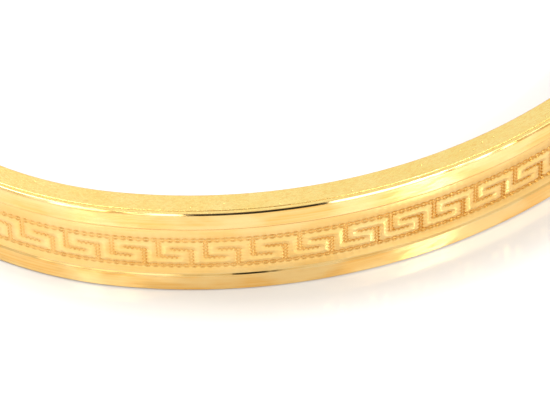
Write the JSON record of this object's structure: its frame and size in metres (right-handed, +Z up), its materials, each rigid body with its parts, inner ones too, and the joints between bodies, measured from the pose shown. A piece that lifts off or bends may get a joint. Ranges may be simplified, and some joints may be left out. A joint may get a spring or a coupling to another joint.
{
  "type": "bangle bracelet",
  "caption": "Hollow oval hinged bangle with a knuckle hinge, a push-button tongue clasp, a swing-over safety loop and an engraved outer band.",
  "frame": {"origin": "middle of the oval, on the plane that the bangle rests on", "axes": "+X from the hinge to the clasp along the oval's long axis, +Y from the front half to the back half, +Z up through the opening"},
  "size_m": [0.0643, 0.0536, 0.0082],
  "materials": {
    "engraved_gold": "polished rims, engraved field",
    "satin_gold": "fine satin grain",
    "polished_gold": "polished",
    "spring_gold": "hard-rolled, bright"
  },
  "bodies": {
    "front_half": {"front_outer_shell": "engraved_gold", "front_upper_wall": "satin_gold", "front_lower_wall": "satin_gold", "front_inner_lining": "polished_gold", "front_hinge_end_plate": "polished_gold", "front_clasp_end_plate": "polished_gold", "front_hinge_knuckle": "polished_gold", "safety_post": "polished_gold"},
    "back_half": {"back_outer_shell": "engraved_gold", "back_upper_wall": "satin_gold", "back_lower_wall": "satin_gold", "back_inner_lining": "polished_gold", "back_hinge_end_plate": "polished_gold", "back_clasp_end_plate": "polished_gold", "back_upper_knuckle": "polished_gold", "back_lower_knuckle": "polished_gold", "hinge_pin": "spring_gold", "clasp_tongue": "spring_gold", "safety_stud": "polished_gold"},
    "thumb_press": {"clasp_spring_leaf": "spring_gold", "thumb_button": "polished_gold"},
    "safety_loop": {"safety_loop": "polished_gold"}
  },
  "joints": [
    {"name": "bangle_hinge", "type": "hinge", "parent": "front_half", "child": "back_half", "pos_m": [-0.03115, 0, 0.00355], "axis": [0, 0, 1], "range_deg": [0, 75]},
    {"name": "thumb_button_press", "type": "hinge", "parent": "back_half", "child": "thumb_press", "pos_m": [0.03078, -0.0036, 0.00355], "axis": [0, 0, 1], "range_deg": [0, 5], "stiffness_Nm_per_rad": 0.002, "deforming": ["clasp_spring_leaf"]},
    {"name": "safety_swing", "type": "hinge", "parent": "front_half", "child": "safety_loop", "pos_m": [0.03064, -0.0017, 0.0075], "axis": [-0.9973, 0.0732, 0], "range_deg": [0, 180]}
  ]
}
